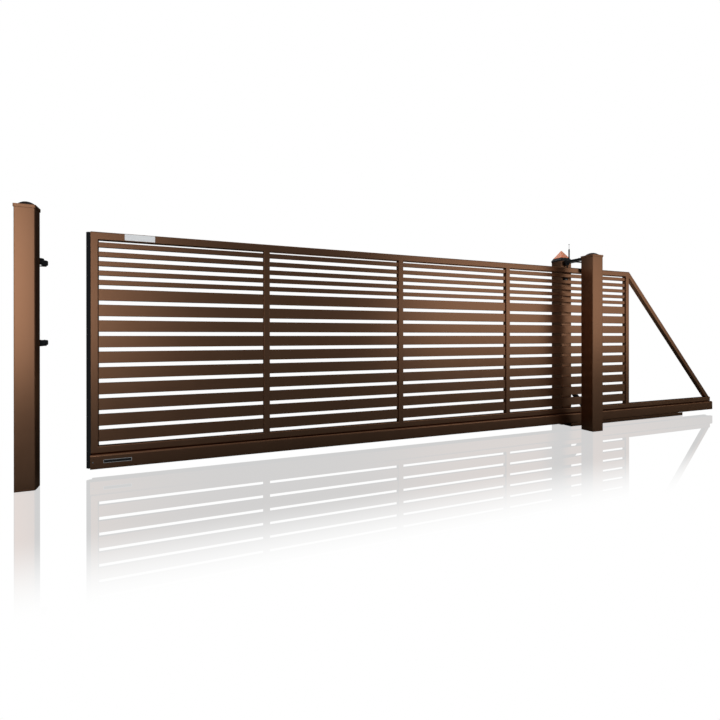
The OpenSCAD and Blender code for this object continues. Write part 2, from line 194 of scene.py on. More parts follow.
def piece(name, body, parts, stands_for=()):
    """Makes one object of (material, patches) parts. Points that coincide become one, a quad that a pole
    closes becomes a triangle, and one that closes to a line is left out.
    """
    patches = [(number, patch) for number, (_, group) in enumerate(parts) for patch in group]
    points = np.concatenate([patch[0] for _, patch in patches])
    cells = np.round(points / WELD).astype(np.int64)
    _, first, index = np.unique(cells, axis=0, return_index=True, return_inverse=True)
    index = index.reshape(-1)
    faces, numbers, corner_normals, offset = [], [], [], 0
    for number, (own, own_faces, own_normals) in patches:
        ring = index[own_faces + offset]
        offset += len(own)
        if ring.shape[1] == 4:
            same = ring == np.roll(ring, -1, 1)
            groups = [(ring[same.sum(1) == 0], own_normals[same.sum(1) == 0])]
            once = same.sum(1) == 1
            keep = np.nonzero(~same[once])
            groups.append((ring[once][keep].reshape(-1, 3), own_normals[once][keep].reshape(-1, 3, 3)))
        else:
            groups = [(ring, own_normals)]
        for made, normals in groups:
            faces.extend(made.tolist())
            numbers.append(np.full(len(made), number))
            corner_normals.append(normals.reshape(-1, 3))
    mesh = bpy.data.meshes.new(name)
    mesh.from_pydata((points[first] * MM).tolist(), [], faces)
    for material, _ in parts:
        mesh.materials.append(material)
    mesh.polygons.foreach_set("material_index", np.concatenate(numbers))
    mesh.polygons.foreach_set("use_smooth", np.ones(len(faces), bool))
    normals = np.concatenate(corner_normals)
    lengths = np.maximum(np.linalg.norm(normals, axis=1, keepdims=True), TINY)
    mesh.normals_split_custom_set(normals / lengths)
    mesh.update()
    made = bpy.data.objects.new(name, mesh)
    bpy.context.scene.collection.objects.link(made)
    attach(made, body)
    if stands_for:
        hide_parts(*stands_for)


# Materials.


def linear(code):
    """An sRGB hex value as linear light: c / 12.92 up to 0.04045, ((c + 0.055) / 1.055) ** 2.4 above."""
    parts = [int(code[i : i + 2], 16) / 255 for i in (1, 3, 5)]
    return (*(c / 12.92 if c <= 0.04045 else ((c + 0.055) / 1.055) ** 2.4 for c in parts), 1.0)


def add(tree, kind, settings=None, inputs=None):
    """Adds a node, sets its properties, and fills each named or numbered input with a value or a link."""
    made = tree.nodes.new(kind)
    for name, value in (settings or {}).items():
        setattr(made, name, value)
    for name, value in (inputs or {}).items():
        if isinstance(value, bpy.types.NodeSocket):
            tree.links.new(value, made.inputs[name])
        else:
            made.inputs[name].default_value = value
    return made


def blend(tree, factor, first, second):
    """A colour between two others."""
    return add(tree, "ShaderNodeMix", {"data_type": "RGBA"}, {0: factor, 6: first, 7: second}).outputs[2]


def noise(tree, place, size_mm, detail):
    """A noise whose scale is one over its size in metres."""
    values = {"Vector": place, "Scale": 1 / (size_mm * MM), "Detail": detail}
    return add(tree, "ShaderNodeTexNoise", {}, values).outputs[0]


DRIFT_DETAIL = 3.0
GRAIN_DETAIL = 2.0


def finish(name, tones, rough, patch_mm, grain_mm, grain_depth_mm, shader=None):
    """A surface whose colour and roughness drift between two tones over patches of a real size, with a finer
    noise as its bump.
    """
    material = bpy.data.materials.new(name)
    material.use_nodes = True
    tree = material.node_tree
    tree.nodes.clear()
    place = add(tree, "ShaderNodeTexCoord").outputs["Object"]
    drift = noise(tree, place, patch_mm, DRIFT_DETAIL)
    grain = noise(tree, place, grain_mm, GRAIN_DETAIL)
    tone = blend(tree, drift, linear(tones[0]), linear(tones[1]))
    gloss = add(tree, "ShaderNodeMapRange", {}, {"Value": drift, "To Min": rough[0], "To Max": rough[1]})
    depth = grain_depth_mm * MM
    bump = add(tree, "ShaderNodeBump", {}, {"Height": grain, "Strength": 1.0, "Distance": depth})
    surface = add(tree, "ShaderNodeBsdfPrincipled", {},
                  {"Base Color": tone, "Roughness": gloss.outputs[0], "Normal": bump.outputs[0],
                   **(shader or {})})
    add(tree, "ShaderNodeOutputMaterial", {}, {"Surface": surface.outputs[0]})
    return material


# Polyester powder coat with copper-brown metallic pigment, baked on steel: a satin sheen that shows the soft
# lights as broad bright fields, and a very fine orange-peel skin. The peel's waves of 2 mm are drawn at 5 mm,
# to show. Its pigment keeps some of its warmth at grazing angles, where a bare metal would turn white.
bronze_coat = finish("satin_copper_brown_powder_coat", ("#866048", "#8e684f"), (0.31, 0.35), 180, 5, 0.006,
                     {"Metallic": 1.0, "Specular Tint": (0.6, 0.5, 0.43, 1.0)})

# The same coat in black on the brackets: almost no colour, a soft sheen on the edges.
black_coat = finish("satin_black_powder_coat", ("#0e0e0f", "#131314"), (0.40, 0.48), 60, 3, 0.01,
                    {"Metallic": 0.0, "Specular IOR Level": 0.3})

# Injection-moulded polypropylene of the lamp's socket, the sensor's housing and the beam's plugs: dull black
# with a fine spark-eroded grain.
black_plastic = finish("black_moulded_polypropylene", ("#0f0f10", "#141415"), (0.45, 0.55), 40, 1.5, 0.03,
                       {"Specular IOR Level": 0.3})

# Polypropylene of the posts' domed caps, coloured through in a brown that is nearly black.
cap_plastic = finish("dark_brown_moulded_polypropylene", ("#1d1613", "#241b17"), (0.52, 0.62), 40, 1.5, 0.02,
                     {"Specular IOR Level": 0.15})

# Extruded EPDM rubber: blue-black and matt.
rubber = finish("black_epdm_rubber", ("#15171a", "#191b1d"), (0.60, 0.72), 90, 2, 0.04,
                {"Specular IOR Level": 0.08})

# Zinc-plated steel: cool grey with a faint cloudiness from the bath.
zinc_steel = finish("zinc_plated_steel", ("#8f9294", "#a6a9aa"), (0.32, 0.45), 12, 1.5, 0.01,
                    {"Metallic": 1.0})

# Cast polyamide of the wheels: warm grey, waxy.
nylon = finish("cast_polyamide", ("#56565a", "#626266"), (0.42, 0.50), 30, 2, 0.02)

# Amber moulded polycarbonate of the lamp's lens: light goes in and comes back salmon-orange, and the fine
# ribs make its sheen broad and pale.
amber = finish("amber_moulded_polycarbonate", ("#cc754b", "#d3805a"), (0.22, 0.28), 60, 2, 0.008,
               {"IOR": 1.58, "Transmission Weight": 0.08, "Subsurface Weight": 0.25,
                "Subsurface Scale": 0.02})

# Pale grey ABS of the antenna's whip, and of the thin border on the beam's plate.
pale_grey = finish("pale_grey_abs", ("#828486", "#8c8e8f"), (0.38, 0.45), 20, 1, 0.01)

# Satin lacquered aluminium label plate, left bare: near white, evenly reflecting.
pale_plate = finish("bare_lacquered_aluminium_plate", ("#d0d3d5", "#d8dadc"), (0.34, 0.40), 50, 2, 0.004)

# Black anodised aluminium plate, left bare.
dark_plate = finish("bare_black_anodised_plate", ("#141415", "#19191a"), (0.30, 0.36), 30, 1, 0.004,
                    {"Metallic": 0.3})

# Smoked acrylic window of the sensor.
smoked = finish("smoked_acrylic", ("#101012", "#141416"), (0.06, 0.10), 20, 3, 0.002, {"IOR": 1.49})


# Posts and their caps.

POST_CORNER = 6.0
POST_EDGE = 1.0
POST_SWELL = 2.0
CROWN_SHARE = 0.008
CROWN_STEPS = 8
CAP_LIP_H = 5.0
CAP_EDGE = 1.2
CAP_RISE = 28.0
CAP_SKIRT_H = 15.0
DOME_STEPS = 15


def crowned_square(width, radius):
    """The outline of a cold-formed square tube: each side bulges by a small share of its width, as an arc
    whose normal turns from -a to a, where a = 4 * share, and each corner is an arc that takes the normal on
    to the next side. The side's radius R = (w/2 - r (cos a - sin a)) / (1 - cos a + sin a) makes them meet.
    """
    half, a = width / 2, 4 * CROWN_SHARE
    big = (half - radius * (math.cos(a) - math.sin(a))) / (1 - math.cos(a) + math.sin(a))
    side = np.linspace(-a, a, CROWN_STEPS + 1)
    corner = np.linspace(a, QUARTER - a, ARC_STEPS + 1)[1:-1]
    hub = half - big + (big - radius) * math.cos(a)
    x = np.concatenate([half - big + big * np.cos(side), hub + radius * np.cos(corner)])
    y = np.concatenate([big * np.sin(side), hub + radius * np.sin(corner)])
    angle = np.concatenate([side, corner])
    points, normals = [], []
    for turn in range(4):
        c, s = round(math.cos(turn * QUARTER)), round(math.sin(turn * QUARTER))
        points.append(np.stack([c * x - s * y, s * x + c * y], 1))
        facing = angle + turn * QUARTER
        normals.append(np.stack([np.cos(facing), np.sin(facing)], 1))
    points, normals = (np.concatenate([*part, part[0][:1]]) for part in (points, normals))
    return points, normals, normals


def dome(radius, rise, base):
    """A shallow round dome: radius R = (r*r + h*h) / 2h, distance R sin t and height R cos t - (R - h), from
    the rim where sin t = r / R up to the top, closed below by a flat disc.
    """
    big = (radius**2 + rise**2) / (2 * rise)
    t = np.linspace(math.asin(radius / big), 0, DOME_STEPS + 1)
    arc = np.stack([big * np.sin(t), base + big * np.cos(t) - (big - rise)], 1)
    facing = np.stack([np.sin(t), np.cos(t)], 1)
    below = np.array([(0.0, base), (radius, base)])
    down = np.array([(0.0, -1.0), (0.0, -1.0)])
    return np.concatenate([below, arc]), np.concatenate([down, facing])


def post(node):
    """A crowned square tube with fine edges and its foot plate, both a little fuller than the solids."""
    for part, own in (("tube", node), ("base", f"{node}_foot")):
        low, high = span(own)
        middle = (low + high) / 2
        section = crowned_square(high[0] - low[0] + 2 * POST_SWELL, POST_CORNER)
        bar = carried(section, (middle[0], middle[1], low[2]), high[2] - low[2], UP, POST_EDGE)
        piece(f"{node}_{part}", "portal", [(bronze_coat, bar)], [own])


def post_cap(name, node):
    """The cap's lip, with a skirt down over the post, and the shallow dome that stands on it."""
    low, high = span(node)
    middle = (low + high) / 2
    lip_top = low[2] + CAP_LIP_H
    skirt_low = (low[0], low[1], low[2] - CAP_SKIRT_H)
    skirt = block(skirt_low, (high[0], high[1], lip_top), Z, POST_CORNER, CAP_EDGE)
    piece(f"{name}_lip", "portal", [(bronze_coat, skirt)], [node])
    radius = (high[0] - low[0]) / 2 - CAP_LIP_H
    cover = turned(dome(radius, CAP_RISE, lip_top), circle(), (middle[0], middle[1], 0))
    piece(f"{name}_dome", "portal", [(cap_plastic, cover)], [node])


post("front_post")
post("rear_post")
post("closing_post")
post_cap("front_cap", "front_post_cap")
post_cap("closing_cap", "closing_post_cap")


# Lamp and antenna.

LAMP_LIP_H = 12.0
LAMP_LIP_EDGE = 1.5
NECK_RADII = (0, 1.0, 1.5, 0)
LENS_SEAT = 14.0
LENS_CORNER_SHARE = 0.07
LENS_FOOT_H = 3.0
LENS_FOOT_CORNER = 3.0
LENS_FOOT_EDGE = 0.5
LENS_TIP_HALF = 4.0
LENS_TOP_TRIM = 7.0
RIB_PITCH = 4.0
RIB_DEPTH = 0.35
RIB_STEPS = 8
MAST_OVER = 11.0
MAST_NUT_H = 14.0
MAST_NUT_OVER = 1.2
MAST_SHOULDER_H = 12.0
MAST_TIP_R = 3.0
MAST_RADII = (0, 0.6, 0.6, 0, 1.5, 0.8, 0)
WHIP_R = 2.0
BALL_R = 6.0
BALL_ROUND = 0.98


def tapered(bottom_half, top_half, height, radii):
    """The profile of a closed form whose half width goes evenly from one value to another."""
    return closed_outline([(0, 0), (bottom_half, 0), (top_half, height), (0, height)], radii)


def ribbed(bottom_half, top_half, height):
    """A taper with moulded ribs: half width = the even taper minus depth * (1 - cos(turns)) / 2, and the
    normal is the slope's, turned outwards. A flat face closes it at both ends.
    """
    z = np.linspace(0, height, int(height / RIB_PITCH) * RIB_STEPS + 1)
    turns = math.tau * z / RIB_PITCH
    half = bottom_half + (top_half - bottom_half) * z / height - RIB_DEPTH * (1 - np.cos(turns)) / 2
    slope = np.gradient(half, z)
    facing = np.stack([np.ones_like(slope), -slope], 1)
    facing /= np.linalg.norm(facing, axis=1, keepdims=True)
    below, above = [(0, 0), (half[0], 0)], [(half[-1], height), (0, height)]
    points = np.concatenate([below, np.stack([half, z], 1), above])
    normals = np.concatenate([[(0, -1), (0, -1)], facing, [(0, 1), (0, 1)]])
    return points, normals


def warning_lamp():
    """The black socket narrows upwards, and the ribbed pyramid lens goes on from the same slope."""
    low, high = span("lamp_base")
    lens_low, lens_high = span("lamp_lens")
    middle = ((low[0] + high[0]) / 2, (low[1] + high[1]) / 2)
    half, top_half = (high[0] - low[0]) / 2, (lens_high[0] - lens_low[0]) / 2
    lip_top = low[2] + LAMP_LIP_H
    neck_h = high[2] - low[2] - LAMP_LIP_H
    lens_half = top_half + (half - top_half) * LENS_SEAT / neck_h
    lens_z, lens_h = lens_low[2] - LENS_SEAT, lens_high[2] - lens_low[2] + LENS_SEAT - LENS_TOP_TRIM
    square = rectangle(2, 2, LENS_CORNER_SHARE)
    neck = tapered(half, lens_half, neck_h - LENS_SEAT, NECK_RADII)
    piece("lamp_socket", "portal", [(black_plastic, [
        *block(low, (high[0], high[1], lip_top), Z, POST_CORNER, LAMP_LIP_EDGE),
        *turned(neck, square, (*middle, lip_top)),
    ])], ["lamp_base"])
    plan = rectangle(2 * lens_half, 2 * lens_half, LENS_FOOT_CORNER)
    foot = carried(plan, (*middle, lens_z), LENS_FOOT_H, UP, LENS_FOOT_EDGE)
    start_half = lens_half - (lens_half - LENS_TIP_HALF) * LENS_FOOT_H / lens_h
    cone = ribbed(start_half, LENS_TIP_HALF, lens_h - LENS_FOOT_H)
    shade = turned(cone, square, (*middle, lens_z + LENS_FOOT_H))
    piece("lamp_lens_shade", "portal", [(amber, [*foot, *shade])], ["lamp_lens"])


def antenna():
    """A dark mast with a nut at its foot and a shoulder at its head, and a thin whip that ends in a ball."""
    low, high = span("antenna_mast")
    whip_low, whip_high = span("antenna_whip")
    x, y = (low[0] + high[0]) / 2, (low[1] + high[1]) / 2
    r, h = (high[0] - low[0]) / 2, high[2] - low[2] + MAST_OVER
    shaft_r = r - MAST_NUT_OVER
    mast = closed_outline([(0, 0), (r, 0), (r, MAST_NUT_H), (shaft_r, MAST_NUT_H),
                           (shaft_r, h - MAST_SHOULDER_H), (MAST_TIP_R, h), (0, h)], MAST_RADII)
    piece("antenna_mast_tube", "portal",
          [(black_coat, turned(mast, circle(), (x, y, low[2])))], ["antenna_mast"])
    whip = bar_profile(WHIP_R, whip_high[2] - whip_low[2] - BALL_R, 0)
    ball_end = BALL_R * BALL_ROUND
    ball = bar_profile(BALL_R, 2 * BALL_R, (0, ball_end, ball_end, 0))
    piece("antenna_whip_rod", "portal", [
        (pale_grey, turned(whip, circle(), (x, y, whip_low[2]))),
        (pale_grey, turned(ball, circle(), (x, y, whip_high[2] - 2 * BALL_R))),
    ], ["antenna_whip"])


warning_lamp()
antenna()


# Fixings. A bolt's measures are shares of its thread's size.

HEX_SIDES = 6
HEX_CORNER = 0.05
HEX_HALF = 0.8
HEX_H = 0.6
HEX_EDGE = 0.12
WASHER_R = 1.05
WASHER_T = 0.18
WASHER_EDGE = 0.06
PAN_ROUND = 0.8


def hex_bolt(place, direction, size):
    """A hexagon head on its washer, for a thread of that size."""
    head = bar_profile(HEX_HALF * size, HEX_H * size, (0, 0, HEX_EDGE * size, 0))
    washer = bar_profile(WASHER_R * size, WASHER_T * size, (0, 0, WASHER_EDGE * size, 0))
    direction = np.asarray(direction, float)
    seat = np.asarray(place, float) + WASHER_T * size * direction
    return [*turned(washer, circle(), place, direction),
            *turned(head, regular(HEX_SIDES, HEX_CORNER), seat, direction)]


def pan_screw(place, direction, width, height):
    """A low domed screw head."""
    form = bar_profile(width / 2, height, (0, 0, height * PAN_ROUND, 0))
    return turned(form, circle(), place, direction)


# Bridge, guide plate, guide rollers and sensor.

BRACKET_EDGE = 0.8
BRIDGE_BAR_H = 22.0
BRIDGE_CORNER = 4.0
BRIDGE_BOLT_SHARE = 0.35
BRIDGE_BOLT = 10
GUIDE_PLATE_T = 6.0
GUIDE_PLATE_RADII = (12, 12, 12, 6, 12, 12)
GUIDE_ARM_OVER = 23.0
NECK_H = 25
NECK_FOOT_IN = 4
NECK_FOOT_H = 6
NECK_CORNERS = (0, 1, 1.5, 1, 0)
GUIDE_PIN_R = 6
GUIDE_PIN_RADII = (0, 1.5, 0, 0)
SLEEVE_BORE_R = 6.3
SLEEVE_HUB_R = 9
SLEEVE_DISH_R = 14
SLEEVE_DISH_H = 2
SLEEVE_RADII = (0, 0.5, 0.5, 0.5, 0.5, 3, 3, 0.5, 0.5, 0.5, 0.5, 0)
SENSOR_RIM_W = 5
SENSOR_RIM_H = 2
SENSOR_RADII = (0, 0.5, 2.5, 0.8, 0.3, 0)
WINDOW_IN = 5.5
WINDOW_RIM_H = 1.0
WINDOW_MIDDLE_H = 1.6
WINDOW_RADII = (0, 0, 0.4, 0)


def bridge():
    """The flat bar that joins the portal's posts, and the bolt on it."""
    low, high = span("top_bridge")
    bar_top = low[2] + BRIDGE_BAR_H
    bar = block(low, (high[0], high[1], bar_top), Y, BRIDGE_CORNER, BRACKET_EDGE)
    piece("bridge_bar", "portal", [(black_coat, bar)], ["top_bridge"])
    seat = ((low[0] + high[0]) / 2, low[1] + (high[1] - low[1]) * BRIDGE_BOLT_SHARE, bar_top)
    piece("bridge_bolt", "portal", [(zinc_steel, hex_bolt(seat, UP, BRIDGE_BOLT))])


def guide_gear():
    """The guide plate with a neck and a pin for each roller, and the two rubber rollers with dished ends."""
    low, high = span("guide_plate")
    plate_low = high[2] - GUIDE_PLATE_T
    r_low, r_high = span("front_guide_roller")
    front = (r_low + r_high) / 2
    rear = sum(span("rear_guide_roller")) / 2
    roller_r = (r_high[0] - r_low[0]) / 2
    bridge_side = span("top_bridge")[1][0]
    arm = front[1] + GUIDE_ARM_OVER
    plate = closed_outline([(low[0], low[1]), (high[0], low[1]), (high[0], arm), (bridge_side, arm),
                            (bridge_side, high[1]), (low[0], high[1])], GUIDE_PLATE_RADII)
    neck = closed_outline([(0, 0), (roller_r - NECK_FOOT_IN, 0), (roller_r, NECK_FOOT_H), (roller_r, NECK_H),
                           (0, NECK_H)], NECK_CORNERS)
    pin = bar_profile(GUIDE_PIN_R, plate_low - low[2], GUIDE_PIN_RADII)
    parts = carried(plate, (0, 0, plate_low), GUIDE_PLATE_T, UP, BRACKET_EDGE)
    for x, y, _ in (front, rear):
        parts += turned(neck, circle(), (x, y, plate_low - NECK_H))
        parts += turned(pin, circle(), (x, y, low[2]))
    piece("guide_plate_steel", "portal", [(black_coat, parts)], ["guide_plate"])
    bore, hub, dish, deep, h = SLEEVE_BORE_R, SLEEVE_HUB_R, SLEEVE_DISH_R, SLEEVE_DISH_H, r_high[2] - r_low[2]
    roller = closed_outline([(bore, 0), (hub, 0), (hub, deep), (dish, deep), (dish, 0), (roller_r, 0),
                             (roller_r, h), (dish, h), (dish, h - deep), (hub, h - deep), (hub, h),
                             (bore, h)], SLEEVE_RADII)
    for name, (x, y, _) in (("front", front), ("rear", rear)):
        sleeve = turned(roller, circle(), (x, y, r_low[2]))
        piece(f"{name}_roller_sleeve", "portal", [(rubber, sleeve)], [f"{name}_guide_roller"])


def sensor_head():
    """A round housing on the rear post, with a smoked window in a low rim."""
    low, high = span("sensor")
    r, depth = (high[0] - low[0]) / 2, high[1] - low[1]
    x, z = (low[0] + high[0]) / 2, (low[2] + high[2]) / 2
    rim, floor_h = r - SENSOR_RIM_W, depth - SENSOR_RIM_H
    housing = closed_outline([(0, 0), (r, 0), (r, depth), (rim, depth), (rim, floor_h), (0, floor_h)],
                             SENSOR_RADII)
    window_r = r - WINDOW_IN
    window = closed_outline([(0, 0), (window_r, 0), (window_r, WINDOW_RIM_H), (0, WINDOW_MIDDLE_H)],
                            WINDOW_RADII)
    piece("sensor_housing", "portal", [
        (black_plastic, turned(housing, circle(), (x, high[1], z), FRONT)),
        (smoked, turned(window, circle(), (x, low[1] + SENSOR_RIM_H, z), FRONT)),
    ], ["sensor"])


bridge()
guide_gear()
sensor_head()


# Ground channel, strut and anchors.

CHANNEL_WALL = 5.0
CHANNEL_RADII = (3, 3, 1, 1, 3, 3, 1, 1)
ANCHOR_X = 400
ANCHOR_Y = 30
ANCHOR_SIZE = 12
STRUT_W = 40
STRUT_EDGE = 2.5
STRUT_FOOT_CORNER = 4.0
STRUT_FOOT_EDGE = 1.0
STRUT_BOLT_IN = 18
STRUT_BOLT_BACK = 14
STRUT_BOLT = 10


def ground_gear():
    """The open channel that the carriages stand in, and its anchor bolts."""
    low, high = span("ground_channel")
    wall = CHANNEL_WALL
    y0, y1, z1 = low[1], high[1], high[2]
    section = closed_outline([(y0, 0), (y1, 0), (y1, z1), (y1 - wall, z1), (y1 - wall, wall),
                              (y0 + wall, wall), (y0 + wall, z1), (y0, z1)], CHANNEL_RADII)
    channel = carried(section, (low[0], 0, 0), high[0] - low[0], ALONG)
    piece("ground_channel_steel", "portal", [(bronze_coat, channel)], ["ground_channel"])
    x, y, _ = (low + high) / 2
    bolts = [part for aside in (-ANCHOR_X, ANCHOR_X) for over in (-ANCHOR_Y, ANCHOR_Y)
             for part in hex_bolt((x + aside, y + over, wall), UP, ANCHOR_SIZE)]
    piece("channel_anchor_bolts", "portal", [(zinc_steel, bolts)])


def strut_gear():
    """The sloping square bar, cut upright at the post and level at its foot plate, and the plate's bolts."""
    low, high = span("strut")
    foot_low, foot_high = span("strut_foot")
    drop = high[2] - low[2]
    half = STRUT_W / math.sqrt(2)
    x0, z0 = low[0], low[2]
    run = high[0] - x0 - half
    corners = [(z0 + drop - 2 * half, x0), (z0, x0 + run - half), (z0, x0 + run + half), (z0 + drop, x0)]
    section = closed_outline(corners[::-1], 0)
    bar = carried(section, (0, low[1], 0), high[1] - low[1], BACK, STRUT_EDGE)
    piece("strut_bar", "portal", [(black_coat, bar)], ["strut"])
    bolt_y = (foot_low[1] + foot_high[1]) / 2 + STRUT_BOLT_BACK
    bolts = [part for x in (foot_low[0] + STRUT_BOLT_IN, foot_high[0] - STRUT_BOLT_IN)
             for part in hex_bolt((x, bolt_y, foot_high[2]), UP, STRUT_BOLT)]
    plate = block(foot_low, foot_high, Z, STRUT_FOOT_CORNER, STRUT_FOOT_EDGE)
    piece("strut_foot_plate", "portal", [(black_coat, plate)], ["strut_foot"])
    piece("strut_anchor_bolts", "portal", [(zinc_steel, bolts)])


ground_gear()
strut_gear()


# Catches on the closing post.

CATCH_LIFT = 9.0
CATCH_PLATE_T = 5.0
CATCH_WEB_W = 20.0
CATCH_PRONG = 12.0
CATCH_FORK_RADII = (1, 1, 6, 11, 11, 6, 6, 11, 11, 4)
CATCH_FLANGE_W = 62
CATCH_FLANGE_CORNER = 4.0
CATCH_PIN_R = 5
CATCH_PIN_RADII = (0, 0, 1.5, 0)
CATCH_BOLT = 7
CATCH_BOLT_OFF = 13
BARREL_R = 21.0
BARREL_BORE_R = 5.3
BARREL_END_R = 9.0
BARREL_GAP = 0.5
BARREL_PIN_SHOWS = 1.5


def catch(node):
    """A bolted flange on the post, a flat fork and an upright pin on each of its prongs."""
    low, high = span(node)
    rollers_low, rollers_high = span("catch_rollers")
    front_y, back_y = rollers_low[1] + BARREL_R, rollers_high[1] - BARREL_R
    web_x, prong, plate_t = low[0] + CATCH_WEB_W, CATCH_PRONG, CATCH_PLATE_T
    fork = closed_outline([
        (low[0], low[1]), (web_x, low[1]), (web_x, front_y - prong), (high[0], front_y - prong),
        (high[0], front_y + prong), (web_x, front_y + prong), (web_x, back_y - prong),
        (high[0], back_y - prong), (high[0], back_y + prong), (low[0], back_y + prong)], CATCH_FORK_RADII)
    flange_high = (low[0] + CATCH_FLANGE_W, low[1] + plate_t, high[2])
    flange = block(low, flange_high, Y, CATCH_FLANGE_CORNER, BRACKET_EDGE)
    plate_z = low[2] + CATCH_LIFT
    parts = [*carried(fork, (0, 0, plate_z), plate_t, UP, BRACKET_EDGE), *flange]
    pin = bar_profile(CATCH_PIN_R, high[2] - plate_z - plate_t, CATCH_PIN_RADII)
    pins = []
    for y in (front_y, back_y):
        pins += turned(pin, circle(), (high[0] - prong, y, plate_z + plate_t))
    bolt_x, bolt_z = low[0] + CATCH_FLANGE_W / 2, (low[2] + high[2]) / 2
    for off in (-CATCH_BOLT_OFF, CATCH_BOLT_OFF):
        pins += hex_bolt((bolt_x, low[1] + plate_t, bolt_z + off), BACK, CATCH_BOLT)
    piece(f"{node}_fork", "portal", [(black_coat, parts)], [node])
    piece(f"{node}_pins", "portal", [(black_coat, pins)])


def catch_barrels():
    """Rubber rollers with well rounded ends on the catches' pins."""
    low, high = span("catch_rollers")
    radii = (0, BARREL_END_R, BARREL_END_R, 0)
    parts = []
    for node in ("upper_catch", "lower_catch"):
        catch_low, catch_high = span(node)
        z = catch_low[2] + CATCH_LIFT + CATCH_PLATE_T + BARREL_GAP
        barrel = bar_profile(BARREL_R, catch_high[2] - z - BARREL_PIN_SHOWS, radii, BARREL_BORE_R)
        for y in (low[1] + BARREL_R, high[1] - BARREL_R):
            parts += turned(barrel, circle(), ((low[0] + high[0]) / 2, y, z))
    piece("catch_barrels", "portal", [(rubber, parts)], ["catch_rollers"])


catch("upper_catch")
catch("lower_catch")
catch_barrels()


# Leaf.

TUBE_CORNER = 2.5
TUBE_END = 0.5
RAIL_CORNER = 7.5
RAIL_UNDER = 4.0
MID_STILES = 4
BAYS = 5
SLAT_CORNER = 2.0
SLAT_UNDER = 3.5
WIDE_PITCH, WIDE_H, WIDE_COUNT = 110.0, 78.0, 10
NARROW_PITCH, NARROW_H, NARROW_COUNT = 66.0, 32.0, 5
BRACE_W = 47.0
BEAM_WALL = 5.0
BEAM_SLOT_HALF = 20.0
BEAM_RADII = (1, 4, 14, 14, 4, 1, 1, 2, 9, 9, 2, 1)
SCREW_X, SCREW_Z = 17, 49
SCREW_W, SCREW_H = 10, 3
PLUG_L = 10
PLUG_CORNER = 9.0
NOSE_OVER = 4.0
NOSE_R = 12.0
SEAL_BASE_HALF = 20.0
SEAL_CORNER = 2.5
RAIL_PLATE_CORNER, RAIL_PLATE_EDGE = 3.0, 0.5
BORDER_W = 2.5
BORDER_SINK = 0.4
BORDER_CORNER, BORDER_EDGE = 2.0, 0.3
FIELD_CORNER, FIELD_EDGE = 1.0, 0.2


def rail(node, under=0.0):
    """A rail as a square tube with well rounded corners, whose underside may lie lower than the node's."""
    low, high = span(node)
    tube = block((low[0], low[1], low[2] - under), high, X, RAIL_CORNER, TUBE_END)
    piece(f"{node}_tube", "leaf", [(bronze_coat, tube)], [node])


def stile(node):
    """A stile as a square tube welded into both rails: its ends fill the roundings that it meets."""
    low, high = (np.array(corner) for corner in span(node))
    low[2] = max(low[2] - RAIL_CORNER, span("bottom_rail")[0][2])
    high[2] = min(high[2] + RAIL_CORNER - RAIL_UNDER, span("top_rail")[1][2])
    tube = block(low, high, Z, TUBE_CORNER, TUBE_END)
    piece(f"{node}_tube", "leaf", [(bronze_coat, tube)], [node])


def bay(number):
    """The slats of one bay: wide ones from below, then narrow ones up to the top rail, each a little deeper
    below than the solid that it stands for.
    """
    node = f"slats_bay_{number}"
    low, high = span(node)
    first_narrow = low[2] + WIDE_COUNT * WIDE_PITCH
    rows = [(low[2] + i * WIDE_PITCH, WIDE_H) for i in range(WIDE_COUNT)]
    rows += [(first_narrow + i * NARROW_PITCH, NARROW_H) for i in range(NARROW_COUNT)]
    parts = []
    for z, h in rows:
        parts += block((low[0], low[1], z - SLAT_UNDER), (high[0], high[1], z + h), X, SLAT_CORNER, 0)
    piece(f"bay_{number}_slats", "leaf", [(bronze_coat, parts)], [node])


def brace():
    """The sloping tube, cut upright at the tail stile and level at the bottom rail."""
    low, high = span("tail_brace")
    slope = math.atan2(high[2] - low[2], high[0] - low[0])
    corners = [(low[2], high[0]), (low[2], high[0] - BRACE_W / math.sin(slope)),
               (high[2] - BRACE_W / math.cos(slope), low[0]), (high[2], low[0])]
    tube = carried(closed_outline(corners, 0), (0, low[1], 0), high[1] - low[1], BACK, TUBE_CORNER)
    piece("tail_brace_tube", "leaf", [(bronze_coat, tube)], ["tail_brace"])


def running_beam():
    """A cold-formed C section: two wide top roundings, small ones below, and a slot along the underside. The
    node's box also holds the end screw's head, which stands proud of the beam's front.
    """
    low, high = span("running_beam")
    front_y = low[1] + SCREW_H
    y, z = (front_y + high[1]) / 2, (low[2] + high[2]) / 2
    w, h, wall, slot = (high[1] - front_y) / 2, (high[2] - low[2]) / 2, BEAM_WALL, BEAM_SLOT_HALF
    corners = np.array([
        (slot, -h), (w, -h), (w, h), (-w, h), (-w, -h), (-slot, -h), (-slot, wall - h), (wall - w, wall - h),
        (wall - w, h - wall), (w - wall, h - wall), (w - wall, wall - h), (slot, wall - h)]) + (y, z)
    beam = carried(closed_outline(corners, BEAM_RADII), (low[0], 0, 0), high[0] - low[0], ALONG)
    piece("running_beam_section", "leaf", [(bronze_coat, beam)], ["running_beam"])
    screw = pan_screw((low[0] + SCREW_X, front_y, low[2] + SCREW_Z), FRONT, SCREW_W, SCREW_H)
    piece("beam_end_screw", "leaf", [(zinc_steel, screw)])
    low, high = span("beam_caps")
    plugs = []
    for x in (low[0], high[0] - PLUG_L):
        plugs += block((x, low[1], low[2]), (x + PLUG_L, high[1], high[2]), X, PLUG_CORNER, 0)
    piece("beam_end_plugs", "leaf", [(black_plastic, plugs)], ["beam_caps"])


